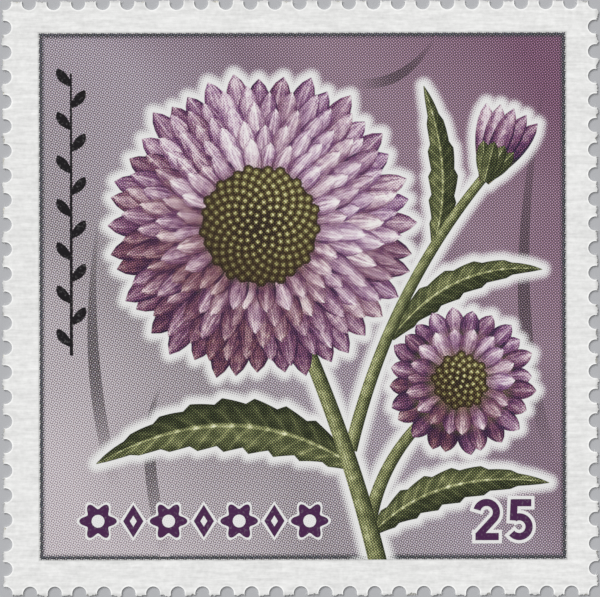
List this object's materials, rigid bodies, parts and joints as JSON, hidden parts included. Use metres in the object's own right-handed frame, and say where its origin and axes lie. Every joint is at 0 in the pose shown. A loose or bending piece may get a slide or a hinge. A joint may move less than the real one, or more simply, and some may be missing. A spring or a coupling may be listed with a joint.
{
  "type": "postage stamp",
  "caption": "Square perforated postage stamp lying face up: gummed paper sheet with a framed halftone flower picture, plain figures and ornaments in thin ink films.",
  "frame": {"origin": "middle of the sheet on its gummed back, which lies on the surface", "axes": "+Z out of the printed face, +Y up the picture, +X to the picture's right"},
  "size_m": [0.0362, 0.0362, 0.0001],
  "materials": {
    "paper": "matt, faintly fibrous stamp paper",
    "gum": "slightly glossy water-activated gum",
    "ground_ink": "halftone offset ink",
    "frame_ink": "dark halftone offset ink",
    "grass_ink": "halftone offset ink",
    "stem_ink": "halftone offset ink",
    "leaf_ink": "halftone offset ink",
    "petal_dark_ink": "halftone offset ink",
    "petal_mid_ink": "halftone offset ink",
    "petal_light_ink": "halftone offset ink",
    "disc_ink": "halftone offset ink",
    "figure_ink": "solid offset ink",
    "vine_ink": "solid offset ink"
  },
  "bodies": {
    "root": {"bud_petals": "petal_mid_ink", "bud_sepals": "leaf_ink", "figure_five": "figure_ink", "figure_two": "figure_ink", "frame_line": "frame_ink", "grass_blade_1": "grass_ink", "grass_blade_1_2": "grass_ink", "grass_blade_2": "grass_ink", "grass_blade_2_2": "grass_ink", "grass_blade_3": "grass_ink", "grass_blade_3_2": "grass_ink", "grass_blade_3_3": "grass_ink", "grass_blade_4": "grass_ink", "ground_ink": "ground_ink", "ground_ink_2": "ground_ink", "ground_ink_3": "ground_ink", "ground_ink_4": "ground_ink", "ground_ink_5": "ground_ink", "gum_film": "gum", "leaf_left": "leaf_ink", "leaf_low_right": "leaf_ink", "leaf_right": "leaf_ink", "leaf_upright": "leaf_ink", "lozenge_1": "figure_ink", "lozenge_2": "figure_ink", "lozenge_3": "figure_ink", "main_bloom_disc": "disc_ink", "main_bloom_fourth_petals": "petal_light_ink", "main_bloom_inner_petals": "petal_light_ink", "main_bloom_outer_petals": "petal_dark_ink", "main_bloom_second_petals": "petal_mid_ink", "main_bloom_third_petals": "petal_mid_ink", "margin_vine": "vine_ink", "paper_sheet": "paper", "rosette_1": "figure_ink", "rosette_2": "figure_ink", "rosette_3": "figure_ink", "rosette_4": "figure_ink", "side_bloom_disc": "disc_ink", "side_bloom_inner_petals": "petal_light_ink", "side_bloom_outer_petals": "petal_dark_ink", "stems": "stem_ink"}
  },
  "joints": []
}
